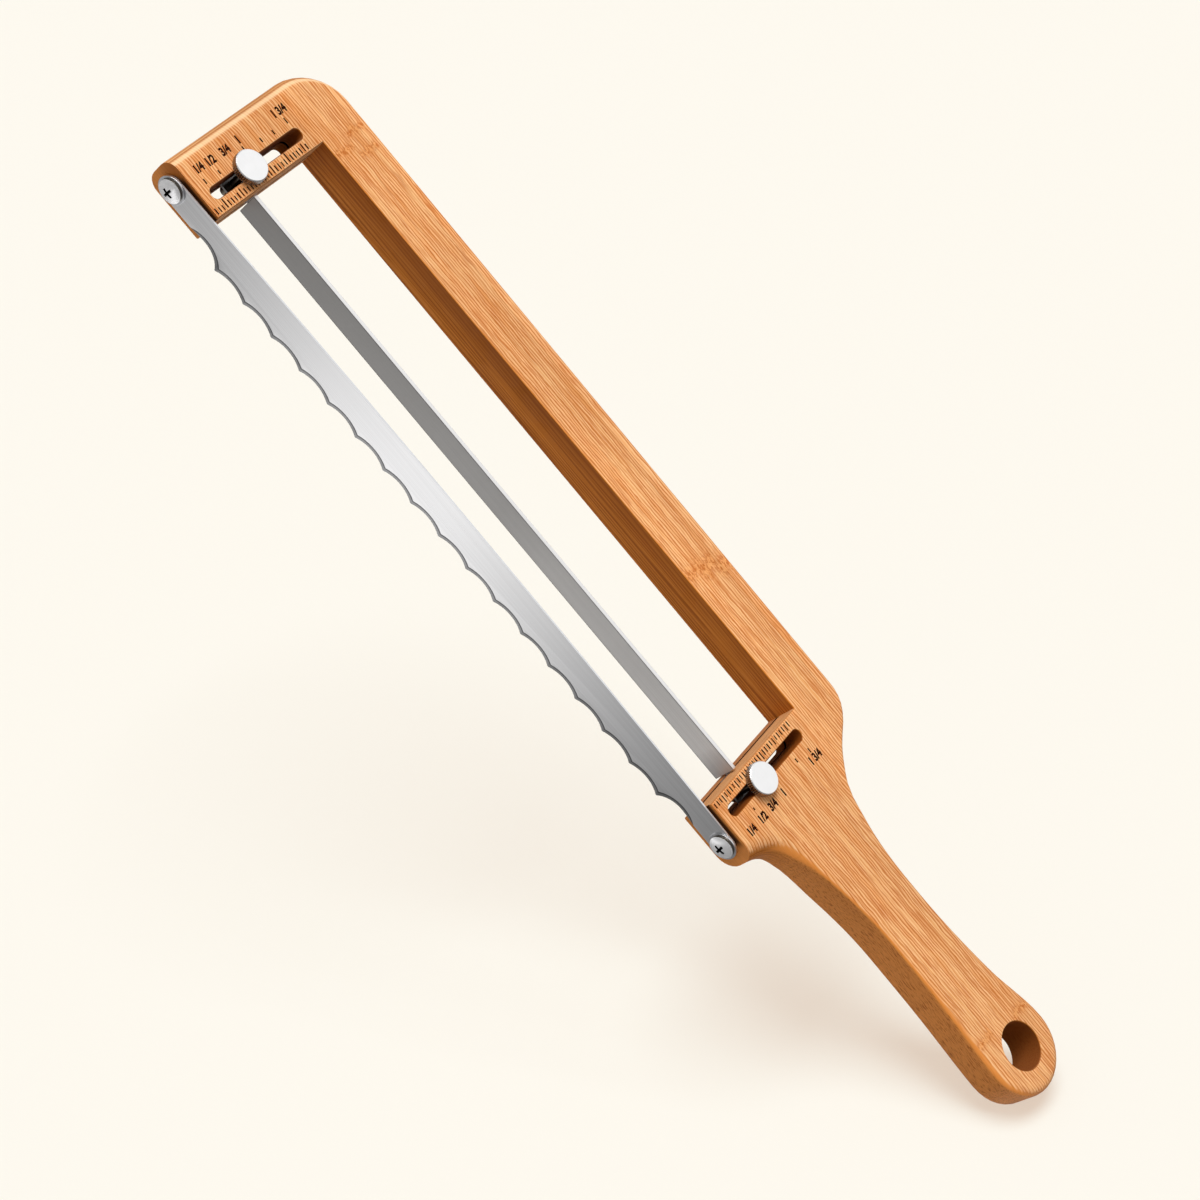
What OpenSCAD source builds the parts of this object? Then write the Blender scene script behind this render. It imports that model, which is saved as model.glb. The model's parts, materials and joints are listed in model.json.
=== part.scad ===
// Bread bow knife: a one-piece bamboo bow with a handle, a scalloped blade across its posts and a
// guide bar that slides in slots to set the slice thickness.
// +X runs from the tip to the handle, +Y from the blade to the spine, +Z out of the front face.

/* [Frame] */
// Thickness of the bamboo board
board_t = 15; // [13:0.5:18]
// Length of the opening between the posts
opening_l = 246; // [200:1:300]
// Width of the spine
spine_w = 21.2; // [16:0.2:28]
// Reach of the posts from the spine to the blade end
post_l = 56; // [52:0.5:66]
// Width of the tip post
tip_post_w = 24.8; // [24:0.2:30]
// Width of the heel post at its blade end
heel_post_w = 23.2; // [22:0.2:28]
// Radius of the bow's outer corner at the tip
tip_corner_r = 18; // [14:0.5:20]

/* [Edges] */
// Roundover along the outside of the tip post
tip_round = 5; // [3:0.5:6]
// Roundover along the spine and the grip
edge_round = 1.5; // [0.6:0.1:2.5]
// Roundover on the boss beside the heel post
boss_round = 6.2; // [3:0.2:7]
// Roundover around the end of the handle
end_round = 3; // [1.5:0.1:5]
// Chamfer round the opening, the slots and the hanging hole
chamfer = 0.35; // [0.2:0.05:0.6]

/* [Handle] */
// Length from the heel post's inner face to the end of the handle
handle_l = 154.2; // [130:0.2:190]
// Depth of the grip's upper edge below the spine's inner face, at the waist
waist_top = 9.6; // [6:0.2:14]
// Depth of the grip's lower edge below the spine's inner face, at the waist
waist_bottom = 34; // [30:0.2:40]
// Radius of the round end of the handle
end_r = 17.25; // [15:0.25:20]
// Depth of the handle's axis below the spine's inner face, at its end
end_axis = 19.1; // [17:0.1:23]
// Diameter of the hanging hole
hang_d = 17.2; // [8:0.1:20]

/* [Slots] */
// Width of the slots in the posts
slot_w = 4.3; // [4.2:0.05:5]
// Length of the slots, end to end
slot_l = 47; // [40:0.5:47]
// Distance from the posts' ends to the slots
slot_gap = 4; // [3:0.2:6]
// Distance from a post's inner face to its slot's middle
slot_set = 7; // [6:0.1:7.6]
// Height of the kerfs that the guide's tongues run in
kerf_h = 1; // [0.9:0.05:1.4]
// Depth of the kerfs
kerf_depth = 11.4; // [11:0.1:11.6]
// Height of the kerfs' middle over the back face
kerf_z = 5.5; // [5:0.1:7]

/* [Blade] */
// Thickness of the blade
blade_t = 0.6; // [0.4:0.05:1]
// Width of the blade at its ends, from the back edge to the points
blade_w = 15.3; // [14:0.1:18]
// Bulge of the blade's back edge over its middle
blade_crown = 1.8; // [0:0.1:3]
// Width of the blade's plain ends
blade_end_w = 10; // [9:0.2:12]
// Height of the blade's screws over the middle of the board
blade_set = 0.6; // [0:0.1:1]
// Depth of a scallop
scallop_depth = 2.2; // [1.5:0.05:3]
// Spacing of the points
scallop_pitch = 13.95; // [12:0.05:14]
// Width of the flat on a point
point_flat = 0.3; // [0.1:0.05:0.6]
// Number of points
point_count = 17; // [10:1:17]
// Distance from the tip post's inner face to the first point
first_point = 11; // [10:0.1:14]
// Run of the half scallop that leads in at each end
lead_in = 8.4; // [7:0.1:10]
// Width of the ground bevel
bevel_w = 2.2; // [0.6:0.05:2.6]
// Distance from the tip post's inner face to its blade screw
tip_screw_set = 16.5; // [15:0.1:17]
// Distance from the heel post's inner face to its blade screw
heel_screw_set = 14; // [13.8:0.1:14.4]

/* [Blade screws] */
// Diameter of the screws' shank
screw_d = 4.2; // [3.5:0.1:4.2]
// Length of the shank in the wood
screw_l = 18; // [12:0.5:24]
// Diameter of the pan heads
head_d = 8.8; // [7:0.1:9]
// Height of the pan heads
head_h = 2; // [1.8:0.1:3]
// Diameter of the washers under the heads
washer_d = 10.4; // [9:0.1:11]
// Thickness of the washers under the heads
washer_t = 0.6; // [0.5:0.1:1.2]
// Diameter of the spacers behind the blade
spacer_d = 9; // [7:0.1:10]
// Thickness of the spacers behind the blade
spacer_t = 1; // [0.8:0.1:3]

/* [Guide] */
// Height of the guide bar
bar_h = 10; // [8:0.5:12]
// Thickness of the guide bar
bar_t = 1.5; // [1:0.1:2]
// Distance from the blade to the guide bar as stored
slice_t = 22.55; // [10:0.05:44]
// Thickness of the guide's tongues
tongue_t = 0.8; // [0.6:0.05:0.85]
// Width of the tongues in the kerfs
tongue_w = 9.5; // [8:0.1:11]
// Reach of the tongues into the posts
tongue_l = 11; // [10.2:0.1:11]
// Length of the slot nuts
nut_l = 8; // [7:0.1:10]
// Thickness of the slot nuts
nut_t = 3; // [2:0.1:3.5]

/* [Thumb screws] */
// Diameter of the knurled heads
knob_d = 12; // [10:0.1:14]
// Height of the knurled heads
knob_h = 3; // [2.5:0.1:6]
// Number of grooves in the knurl
knurl_count = 48; // [24:1:60]
// Depth of the knurl's grooves
knurl_depth = 0.25; // [0.1:0.05:0.4]
// Diameter of the studs
stud_d = 3; // [2.4:0.1:3]
// Diameter of the clamp washers under the heads
clamp_d = 9; // [8:0.1:10]
// Thickness of the clamp washers
clamp_t = 0.5; // [0.4:0.1:1]

/* [Hidden] */

// Overrun of every cut
over = 1;
// Radial clearance of the stud in the tongue and the slot nut
thread_gap = 0.05;
stud_gap = 0.1;
// Clearance between a clamped piece and what it bears on
seat_gap = 0.02;
// Clearance around a screw in its washer, and of the slot nuts in the slots
hole_gap = 0.15;
nut_gap = 0.1;
// Gap between the guide bar's ends and the posts
end_gap = 0.6;
// Reach of the tongues' necks behind the bar, and how deep they are let into its ends
neck_back = 2;
neck_l = 5;
// Corner radius of the tongues
tongue_r = 1.5;
// Edge bevel of the knurled heads
knob_edge = 0.4;
// Length of stud that shows past the slot nuts
stud_end = 0.6;
// Crown of the pan heads, as a share of their height
head_side_share = 0.35;
// Cross recess of the pan heads
recess_w = 0.95;
recess_l = 3.8;
recess_depth = 1.3;
// How far the screws' crosses are turned
tip_cross_turn = -2;
heel_cross_turn = 12;
// Roundness
$fn = 64;
arc_steps = 8;
end_steps = 9;
round_steps = 6;
crown_steps = 24;
shoulder_steps = 7;
boss_steps = 8;
grip_steps = 24;

// Positions in the part's own plan: the opening's corner at the tip is 0, 0 and the back face is 0
points_x = [for (k = [0:point_count - 1]) first_point + k * scallop_pitch];
screw_z = board_t / 2 + blade_set;
blade_top = screw_z + blade_end_w / 2;
points_z = blade_top - blade_w;
slot_low = slot_gap - post_l;
blade_back_y = -post_l - spacer_t;
blade_front_y = blade_back_y - blade_t;
bar_y = blade_back_y + slice_t;
stud_y = bar_y + bar_t / 2;
tongue_z = kerf_z + kerf_h / 2 - seat_gap - tongue_t;
tip_stud_x = -slot_set;
heel_stud_x = opening_l + slot_set;
clamp_z = board_t + seat_gap;
knob_z = clamp_z + clamp_t;
knob_top = knob_z + knob_h;
nut_z = tongue_z - nut_t;
stud_low = nut_z - stud_end;
handle_end_x = opening_l + handle_l;
head_front_y = blade_front_y - washer_t - head_h;

// Row origin: the middle of the box, on the plane that the teeth rest on
origin = [
    (handle_end_x - tip_post_w) / 2,
    (spine_w + head_front_y) / 2,
    points_z
];

// The two handle edges, as [share of the run, share of the rise, slope in shares], chosen by hand
shoulder_shares = [[0, 0, 0], [0.109, 0.32, 7.2], [0.188, 0.703, 3.9], [0.301, 0.905, 1.2], [0.541, 1, 0]];
shoulder_start_share = 0.029;
swell_shares = [[0, 0, 0], [0.59, 0.39, 1.15], [1, 1, 0]];
throat_shares = [[0, 0, 9], [0.151, 0.586, 1.38], [0.463, 0.847, 0.48], [1, 1, 0]];
waist_share = 0.49;
base_shares = [[0, 0, 0], [0.52, 0.34, 1.4], [1, 1, 0]];

grip_l = handle_l - end_r;
end_x = opening_l + grip_l;
shoulder_x = opening_l + shoulder_start_share * grip_l;
boss_x = opening_l + heel_post_w;
waist_top_x = shoulder_x + shoulder_shares[4][0] * (end_x - shoulder_x);
waist_bottom_x = boss_x + waist_share * (end_x - boss_x);
throat_slope = throat_shares[0][2] * (post_l - waist_bottom) / (waist_bottom_x - boss_x);
// The posts' ends are drawn long and trimmed square
trim_y = -post_l - boss_round;
// Half the span over which the outline's direction is taken
probe = 0.5;

// Cubic through stations of [place, height, slope]
function cubic(a, b, u) =
    let (h = b[0] - a[0], t = (u - a[0]) / h)
    a[1] * (1 - 3 * t * t + 2 * t * t * t) + h * a[2] * (t * t * t - 2 * t * t + t)
    + b[1] * (3 * t * t - 2 * t * t * t) + h * b[2] * (t * t * t - t * t);
function through(stations, u) =
    let (k = max([for (i = [0:len(stations) - 2]) if (stations[i][0] <= u || i == 0) i]))
    cubic(stations[k], stations[k + 1], u);
function ease(u) = u * u * (3 - 2 * u);
function blend(a, b, u) = a + (b - a) * ease(min(max(u, 0), 1));

// Upper and lower edge of the outline at a place along the handle
function upper_y(x) =
    x <= shoulder_x ? spine_w
    : x <= waist_top_x
        ? spine_w - (spine_w + waist_top)
            * through(shoulder_shares, (x - shoulder_x) / (end_x - shoulder_x))
        : -waist_top + (waist_top - end_axis + end_r)
            * through(swell_shares, (x - waist_top_x) / (end_x - waist_top_x));
function lower_y(x) =
    x <= boss_x ? -post_l + (x - boss_x) * throat_slope
    : x <= waist_bottom_x
        ? -post_l + (post_l - waist_bottom)
            * through(throat_shares, (x - boss_x) / (waist_bottom_x - boss_x))
        : -waist_bottom - (end_axis + end_r - waist_bottom)
            * through(base_shares, (x - waist_bottom_x) / (end_x - waist_bottom_x));
function upper_round(x) = blend(edge_round, end_round, (x - waist_top_x) / (end_x - waist_top_x));
function lower_round(x) =
    x <= waist_bottom_x
        ? blend(boss_round, edge_round, (x - boss_x) / (waist_bottom_x - boss_x) * 2)
        : blend(edge_round, end_round, (x - waist_bottom_x) / (end_x - waist_bottom_x));

// Outward direction across a chain of the outline
function across(a, b, side) = let (d = b - a) side * [-d[1], d[0]] / norm(d);

// Places along the handle where both edges are drawn
boss_low_x = boss_x - boss_round / throat_slope;
throat_x = boss_x + throat_shares[1][0] * (waist_bottom_x - boss_x);
function spread(from, to, steps) = [for (k = [0:steps - 1]) from + (to - from) * k / steps];
shoulder_places = spread(shoulder_x, boss_low_x, shoulder_steps);
places = concat(spread(boss_low_x, throat_x, boss_steps), spread(throat_x, end_x, grip_steps));

// Outline points as [x, y, outward x, outward y, roundover], from the tip to the end of the handle
tip_arc = [
    for (k = [0:arc_steps])
        let (a = 180 - 90 * k / arc_steps, n = [cos(a), sin(a)])
        [
            tip_corner_r - tip_post_w + tip_corner_r * n[0], spine_w - tip_corner_r + tip_corner_r * n[1],
            n[0], n[1], blend(tip_round, edge_round, k / arc_steps)
        ]
];
upper_run = [
    for (x = concat(shoulder_places, places))
        let (n = across([x - probe, upper_y(x - probe)], [x + probe, upper_y(x + probe)], 1))
        [x, upper_y(x), n[0], n[1], upper_round(x)]
];
lower_run = [
    for (x = places)
        let (n = across([x - probe, lower_y(x - probe)], [x + probe, lower_y(x + probe)], -1))
        [x, lower_y(x), n[0], n[1], lower_round(x)]
];
function end_arc(side) = [
    for (k = [0:end_steps])
        let (a = 90 - 90 * k / (end_steps + 0.5), n = [cos(a), side * sin(a)])
        [end_x + end_r * n[0], end_r * n[1] - end_axis, n[0], n[1], end_round]
];
upper_chain = concat(tip_arc, upper_run, end_arc(1));

// One level of the skin, on the back or the front roundover at an angle: the upper edge, then the lower
function level_z(r, front, lift) = front ? board_t - r * (1 - sin(lift)) : r * (1 - sin(lift));
function drawn_in(p, front, lift) =
    let (d = p[4] * (1 - cos(lift)))
    [p[0] - p[2] * d, p[1] - p[3] * d, level_z(p[4], front, lift)];
function level(front, lift) =
    let (
        upper = [for (p = upper_chain) drawn_in(p, front, lift)],
        tip_low = [for (k = [0:arc_steps]) [upper[k][0], trim_y, upper[k][2]]],
        post_low = [
            for (x = shoulder_places)
                [(x + shoulder_x) / 2, trim_y, level_z(boss_round, front, lift)]
        ],
        lower = concat(
            tip_low, post_low, [for (p = concat(lower_run, end_arc(-1))) drawn_in(p, front, lift)]
        )
    )
    concat(upper, [for (k = [len(lower) - 1:-1:0]) lower[k]]);

module bow_skin() {
    half = len(upper_chain);
    size = 2 * half;
    rows = 2 * round_steps + 2;
    points = concat(
        [for (k = [round_steps:-1:0]) each level(false, 90 * k / round_steps)],
        [for (k = [0:round_steps]) each level(true, 90 * k / round_steps)]
    );
    sides = [
        for (j = [0:rows - 2], i = [0:size - 1])
            let (a = j * size + i, b = j * size + (i + 1) % size, c = a + size, d = b + size)
            each [[a, b, d], [a, d, c]]
    ];
    top = (rows - 1) * size;
    caps = [
        for (i = [0:half - 2])
            let (a = i, b = i + 1, c = size - 2 - i, d = size - 1 - i)
            each [
                [top + a, top + b, top + c], [top + a, top + c, top + d],
                [c, b, a], [d, c, a]
            ]
    ];
    polyhedron(points, concat(sides, caps));
}

// Half of a cut through the board that opens out over a chamfer at both faces
function flared(half) =
    let (wide = half + chamfer + over)
    [[wide, -over], [half, chamfer], [half, board_t - chamfer], [wide, board_t + over]];

// A round cut through the board
module round_cut(r) {
    rotate_extrude() polygon(concat([[0, -over]], flared(r), [[0, board_t + over]]));
}

// A straight cut through the board along -Y
module straight_cut(half, length) {
    right = flared(half);
    left = [for (k = [len(right) - 1:-1:0]) [-right[k][0], right[k][1]]];
    rotate([90, 0, 0]) linear_extrude(length) polygon(concat(right, left));
}

// A slot through the board along Y, from its lower end
module slot_cut() {
    r = slot_w / 2;
    translate([0, r, 0]) round_cut(r);
    translate([0, slot_l - r, 0]) round_cut(r);
    translate([0, slot_l - r, 0]) straight_cut(r, slot_l - slot_w);
}

// The opening between the posts, cut along both of its directions
module opening_cut() {
    depth = over - trim_y;
    translate([opening_l / 2, 0, 0]) straight_cut(opening_l / 2, depth);
    translate([0, -depth / 2, 0]) rotate([0, 0, 90]) straight_cut(depth / 2, opening_l);
}

// A straight bar with round ends along Y, from its lower end
module round_bar(width, length, height) {
    r = width / 2;
    translate([0, r, 0]) cylinder(r = r, h = height);
    translate([0, length - r, 0]) cylinder(r = r, h = height);
    translate([-r, r, 0]) cube([width, length - width, height]);
}

module at_tip_screw() {
    translate([-tip_screw_set, 0, screw_z]) rotate([90, 0, 0]) children();
}

module at_heel_screw() {
    translate([opening_l + heel_screw_set, 0, screw_z]) rotate([90, 0, 0]) children();
}

module bow_frame() {
    color([0.85, 0.58, 0.36]) difference() {
        bow_skin();
        // Square ends of the posts
        translate([-tip_post_w - over, trim_y - over, -over])
            cube([tip_post_w + boss_x + over + boss_round, boss_round + over, board_t + 2 * over]);
        opening_cut();
        // Slots for the thumb screws
        for (x = [tip_stud_x, heel_stud_x]) translate([x, slot_low, 0]) slot_cut();
        // Saw kerfs for the guide's tongues, open at the posts' ends
        translate([-kerf_depth, trim_y - over, kerf_z - kerf_h / 2])
            cube([kerf_depth + over, -trim_y + over, kerf_h]);
        translate([opening_l - over, trim_y - over, kerf_z - kerf_h / 2])
            cube([kerf_depth + over, -trim_y + over, kerf_h]);
        // Pilot holes for the blade screws
        at_tip_screw() translate([0, 0, post_l - screw_l]) cylinder(d = screw_d, h = screw_l + over);
        at_heel_screw() translate([0, 0, post_l - screw_l]) cylinder(d = screw_d, h = screw_l + over);
        // Hanging hole
        translate([end_x, -end_axis, 0]) round_cut(hang_d / 2);
    }
}

// Tool that grinds one scallop through the blade, opening out over the bevel
module grind(half, depth) {
    r = (half * half + depth * depth) / (2 * depth);
    slope = bevel_w / blade_t;
    translate([0, 0, depth - r])
        rotate([90, 0, 0])
            translate([0, 0, -blade_back_y - over])
                cylinder(
                    r1 = r - over * slope, r2 = r + (blade_t + over) * slope,
                    h = blade_t + 2 * over, $fn = 180
                );
}

// Side of the blade between its screws, before the scallops are ground
module blade_side() {
    first = points_x[0] - lead_in;
    last = points_x[point_count - 1] + lead_in;
    low = blade_top - blade_end_w;
    half = (opening_l + tip_screw_set + heel_screw_set) / 2;
    polygon(concat(
        [
            for (k = [0:crown_steps])
                let (u = 1 - 2 * k / crown_steps)
                [opening_l + heel_screw_set - half + u * half, blade_top + blade_crown * (1 - u * u)]
        ],
        [
            [-tip_screw_set, low], [first, low], [first, points_z],
            [last, points_z], [last, low], [opening_l + heel_screw_set, low]
        ]
    ));
}

module blade() {
    first = points_x[0];
    last = points_x[point_count - 1];
    color([0.78, 0.79, 0.8]) difference() {
        union() {
            // Plain ends
            at_tip_screw() translate([0, 0, -blade_back_y]) cylinder(d = blade_end_w, h = blade_t);
            at_heel_screw() translate([0, 0, -blade_back_y]) cylinder(d = blade_end_w, h = blade_t);
            translate([0, blade_back_y, 0]) rotate([90, 0, 0]) linear_extrude(blade_t) blade_side();
        }
        for (k = [0:point_count - 2])
            translate([points_x[k] + scallop_pitch / 2, 0, points_z])
                grind((scallop_pitch - point_flat) / 2, scallop_depth);
        for (x = [first - lead_in, last + lead_in])
            translate([x, 0, points_z]) grind(lead_in - point_flat / 2, blade_w - blade_end_w);
        at_tip_screw() screw_hole();
        at_heel_screw() screw_hole();
    }
}

// Clearance hole for a blade screw
module screw_hole() {
    translate([0, 0, -blade_back_y - over])
        cylinder(d = screw_d + 2 * hole_gap, h = blade_t + 2 * over);
}

// A pan-head screw along +Z, its head's underside at 0
module pan_screw(turn) {
    side = head_h * head_side_share;
    crown = head_h - side;
    r = head_d / 2;
    dome = (r * r + crown * crown) / (2 * crown);
    color([0.75, 0.76, 0.78]) difference() {
        union() {
            cylinder(r = r, h = side);
            translate([0, 0, side]) intersection() {
                translate([0, 0, crown - dome]) sphere(r = dome, $fn = 96);
                cylinder(r = r, h = crown + over);
            }
            translate([0, 0, -screw_l - spacer_t - blade_t - washer_t])
                cylinder(d = screw_d, h = screw_l + spacer_t + blade_t + washer_t);
        }
        for (a = [turn, turn + 90])
            translate([0, 0, head_h - recess_depth])
                rotate([0, 0, a])
                    translate([-recess_l / 2, -recess_w / 2, 0])
                        cube([recess_l, recess_w, recess_depth + over]);
    }
}

module ring(outer, inner, height) {
    difference() {
        cylinder(d = outer, h = height);
        translate([0, 0, -over]) cylinder(d = inner, h = height + 2 * over);
    }
}

module blade_washer() {
    color([0.7, 0.71, 0.73])
        translate([0, 0, -blade_front_y]) ring(washer_d, screw_d + 2 * hole_gap, washer_t);
}

module blade_spacer() {
    color([0.35, 0.35, 0.37]) translate([0, 0, post_l]) ring(spacer_d, screw_d + 2 * hole_gap, spacer_t);
}

module blade_screw(turn) {
    translate([0, 0, -blade_front_y + washer_t]) pan_screw(turn);
}

// The sheet-metal tongue at one end of the guide bar, pointing to -X from the post's inner face
module tongue() {
    color([0.6, 0.58, 0.56]) difference() {
        union() {
            // Blade of the tongue, in the kerf
            translate([-tongue_l, -tongue_w / 2 + tongue_r, 0])
                cube([tongue_l, tongue_w - 2 * tongue_r, tongue_t]);
            translate([-tongue_l + tongue_r, -tongue_w / 2, 0])
                cube([tongue_l - tongue_r, tongue_w, tongue_t]);
            for (s = [-1, 1])
                translate([-tongue_l + tongue_r, s * (tongue_w / 2 - tongue_r), 0])
                    cylinder(r = tongue_r, h = tongue_t);
            // Neck, let into the bar and standing out behind it
            translate([-over, -bar_t / 2, 0]) cube([neck_l + end_gap + over, bar_t + neck_back, tongue_t]);
        }
        translate([-slot_set, 0, -over]) cylinder(d = stud_d + 2 * stud_gap, h = tongue_t + 2 * over);
    }
}

module tip_tongue() {
    translate([0, stud_y, tongue_z]) tongue();
}

module heel_tongue() {
    translate([opening_l, stud_y, tongue_z]) mirror([1, 0, 0]) tongue();
}

module guide_bar() {
    slit = neck_l + over;
    color([0.62, 0.6, 0.58]) difference() {
        translate([end_gap, bar_y, 0]) cube([opening_l - 2 * end_gap, bar_t, bar_h]);
        // Slits that the tongues' necks are brazed into
        for (x = [end_gap - over, opening_l - end_gap - neck_l])
            translate([x, bar_y - over, tongue_z]) cube([slit, bar_t + 2 * over, tongue_t]);
    }
}

module slot_nut(x) {
    color([0.3, 0.3, 0.32]) translate([x, stud_y - nut_l / 2, nut_z - seat_gap]) difference() {
        round_bar(slot_w - 2 * nut_gap, nut_l, nut_t);
        translate([0, nut_l / 2, -over]) cylinder(d = stud_d + 2 * thread_gap, h = nut_t + 2 * over);
    }
}

module clamp_washer(x) {
    color([0.72, 0.73, 0.75]) translate([x, stud_y, clamp_z]) ring(clamp_d, stud_d + 2 * hole_gap, clamp_t);
}

// Outline of a knurled head: shallow grooves between flats
module knurl_outline() {
    r = knob_d / 2;
    polygon([
        for (k = [0:knurl_count - 1])
            let (a = 360 * k / knurl_count, step = 360 / knurl_count)
            each [
                r * [cos(a), sin(a)],
                r * [cos(a + step / 3), sin(a + step / 3)],
                (r - knurl_depth) * [cos(a + step * 2 / 3), sin(a + step * 2 / 3)]
            ]
    ]);
}

// A knurled band between bevelled rims that stand inside the grooves, over a plain stud
module thumb_screw(x) {
    rim = knob_d / 2 - 2 * knurl_depth;
    color([0.86, 0.87, 0.88]) translate([x, stud_y, 0]) union() {
        translate([0, 0, knob_z + knob_edge]) linear_extrude(knob_h - 2 * knob_edge) knurl_outline();
        translate([0, 0, knob_z]) cylinder(r1 = rim - knob_edge, r2 = rim, h = knob_edge);
        translate([0, 0, knob_top - knob_edge]) cylinder(r1 = rim, r2 = rim - knob_edge, h = knob_edge);
        translate([0, 0, stud_low]) cylinder(d = stud_d, h = knob_z + knob_edge - stud_low);
    }
}

module place() {
    translate(-origin) children();
}

place() bow_frame();
place() blade();
place() at_tip_screw() blade_screw(tip_cross_turn);  // tip_blade_screw
place() at_heel_screw() blade_screw(heel_cross_turn);  // heel_blade_screw
place() at_tip_screw() blade_washer();  // tip_blade_washer
place() at_heel_screw() blade_washer();  // heel_blade_washer
place() at_tip_screw() blade_spacer();  // tip_blade_spacer
place() at_heel_screw() blade_spacer();  // heel_blade_spacer
place() guide_bar();
place() tip_tongue();  // tip_guide_tongue
place() heel_tongue();  // heel_guide_tongue
place() slot_nut(tip_stud_x);  // tip_slot_nut
place() slot_nut(heel_stud_x);  // heel_slot_nut
place() clamp_washer(tip_stud_x);  // tip_clamp_washer
place() clamp_washer(heel_stud_x);  // heel_clamp_washer
place() thumb_screw(tip_stud_x);  // tip_thumb_screw
place() thumb_screw(heel_stud_x);  // heel_thumb_screw
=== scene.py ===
# Bread bow knife, dressed for a studio picture. Lengths are in millimetres and places in the maker's plan:
# x from the opening's corner at the tip, y from the spine's inner face, z from the back face.
import bmesh
import bpy
import json
import math
from mathutils import Matrix, Vector


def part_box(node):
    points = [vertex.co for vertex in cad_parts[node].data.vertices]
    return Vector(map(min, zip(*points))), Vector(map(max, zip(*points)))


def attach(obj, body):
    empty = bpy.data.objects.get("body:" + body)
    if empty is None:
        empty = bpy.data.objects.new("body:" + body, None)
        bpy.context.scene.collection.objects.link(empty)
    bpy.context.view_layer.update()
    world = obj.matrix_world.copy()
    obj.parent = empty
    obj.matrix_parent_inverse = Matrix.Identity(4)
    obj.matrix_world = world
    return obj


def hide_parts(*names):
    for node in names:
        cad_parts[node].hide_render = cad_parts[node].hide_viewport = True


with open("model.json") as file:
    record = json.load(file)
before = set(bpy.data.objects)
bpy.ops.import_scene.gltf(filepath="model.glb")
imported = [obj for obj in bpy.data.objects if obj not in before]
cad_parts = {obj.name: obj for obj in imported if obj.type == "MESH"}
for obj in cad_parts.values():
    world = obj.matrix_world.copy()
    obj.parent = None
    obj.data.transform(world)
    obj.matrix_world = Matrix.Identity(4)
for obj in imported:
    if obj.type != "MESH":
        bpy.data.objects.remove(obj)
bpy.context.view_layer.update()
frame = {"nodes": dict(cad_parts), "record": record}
cadNodes = frame["nodes"]
scene = bpy.context.scene
scene.view_settings.view_transform = "Standard"
print("frame loaded:", len(cadNodes), "nodes")

mm = 0.001  # a millimetre in the scene's metres
postCorner = Vector((-24.8, -56.0, 0.0))  # the bow's lowest corner in the plan
planOrigin = postCorner - Vector(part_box("bow_frame")[0]) / mm
ridesOn = {name: body for body, names in frame["record"]["behaviour"]["bodies"].items() for name in names}


def fromPlan(x, y, z):
    return (Vector((x, y, z)) - planOrigin) * mm


def rgb(r, g, b):  # 8-bit colour to linear
    return tuple(((c / 255 + 0.055) / 1.055) ** 2.4 for c in (r, g, b)) + (1.0,)


# Helpers for shader and geometry nodes

def fillSockets(tree, node, inputs):  # links sockets, and sets plain values
    for key, value in inputs.items():
        if isinstance(value, bpy.types.NodeSocket):
            tree.links.new(value, node.inputs[key])
        else:
            node.inputs[key].default_value = value


def addNode(tree, kind, inputs=None, **settings):
    node = tree.nodes.new(kind)
    for key, value in settings.items():
        setattr(node, key, value)
    fillSockets(tree, node, inputs or {})
    return node


def calc(tree, operation, a, b=0.0, c=0.0):
    return addNode(tree, "ShaderNodeMath", {0: a, 1: b, 2: c}, operation=operation).outputs[0]


def product(tree, first, *others):
    for other in others:
        first = calc(tree, "MULTIPLY", first, other)
    return first


def largest(tree, first, *others):
    for other in others:
        first = calc(tree, "MAXIMUM", first, other)
    return first


def distance(tree, value, middle):
    return calc(tree, "ABSOLUTE", calc(tree, "SUBTRACT", value, middle))


def bell(tree, value):  # 1 at zero, falling off on both sides
    return calc(tree, "POWER", math.e, product(tree, value, value, -1.0))


def vectorCalc(tree, operation, a, b):
    return addNode(tree, "ShaderNodeVectorMath", {0: a, 1: b}, operation=operation).outputs[0]


def joined(tree, x=0.0, y=0.0, z=0.0):
    return addNode(tree, "ShaderNodeCombineXYZ", {0: x, 1: y, 2: z}).outputs[0]


def split(tree, vector):
    return addNode(tree, "ShaderNodeSeparateXYZ", {0: vector}).outputs


def greyOf(tree, value):
    return addNode(tree, "ShaderNodeCombineColor", {0: value, 1: value, 2: value}).outputs[0]


def mixTone(tree, factor, a, b, blend="MIX"):
    node = addNode(tree, "ShaderNodeMix", {0: factor, 6: a, 7: b}, data_type="RGBA", blend_type=blend)
    return node.outputs[2]


def mixValue(tree, factor, a, b):
    return addNode(tree, "ShaderNodeMix", {0: factor, 2: a, 3: b}, data_type="FLOAT").outputs[0]


def ranged(tree, value, low, high, start, end):
    return addNode(tree, "ShaderNodeMapRange", {0: value, 1: low, 2: high, 3: start, 4: end}).outputs[0]


def between(tree, value, low, high):  # soft step from 0 at low to 1 at high
    node = addNode(tree, "ShaderNodeMapRange", {0: value, 1: low, 2: high, 3: 0.0, 4: 1.0})
    node.interpolation_type = "SMOOTHSTEP"
    return node.outputs[0]


def noiseOf(tree, vector, detail=2.0, rough=0.5, scale=1.0):
    inputs = {"Vector": vector, "Scale": scale, "Detail": detail, "Roughness": rough}
    return addNode(tree, "ShaderNodeTexNoise", inputs).outputs[0]


def stretched(tree, vector, scale, shift=(0.0, 0.0, 0.0)):
    return addNode(tree, "ShaderNodeMapping", {0: vector, 1: shift, 3: scale}).outputs[0]


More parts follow.
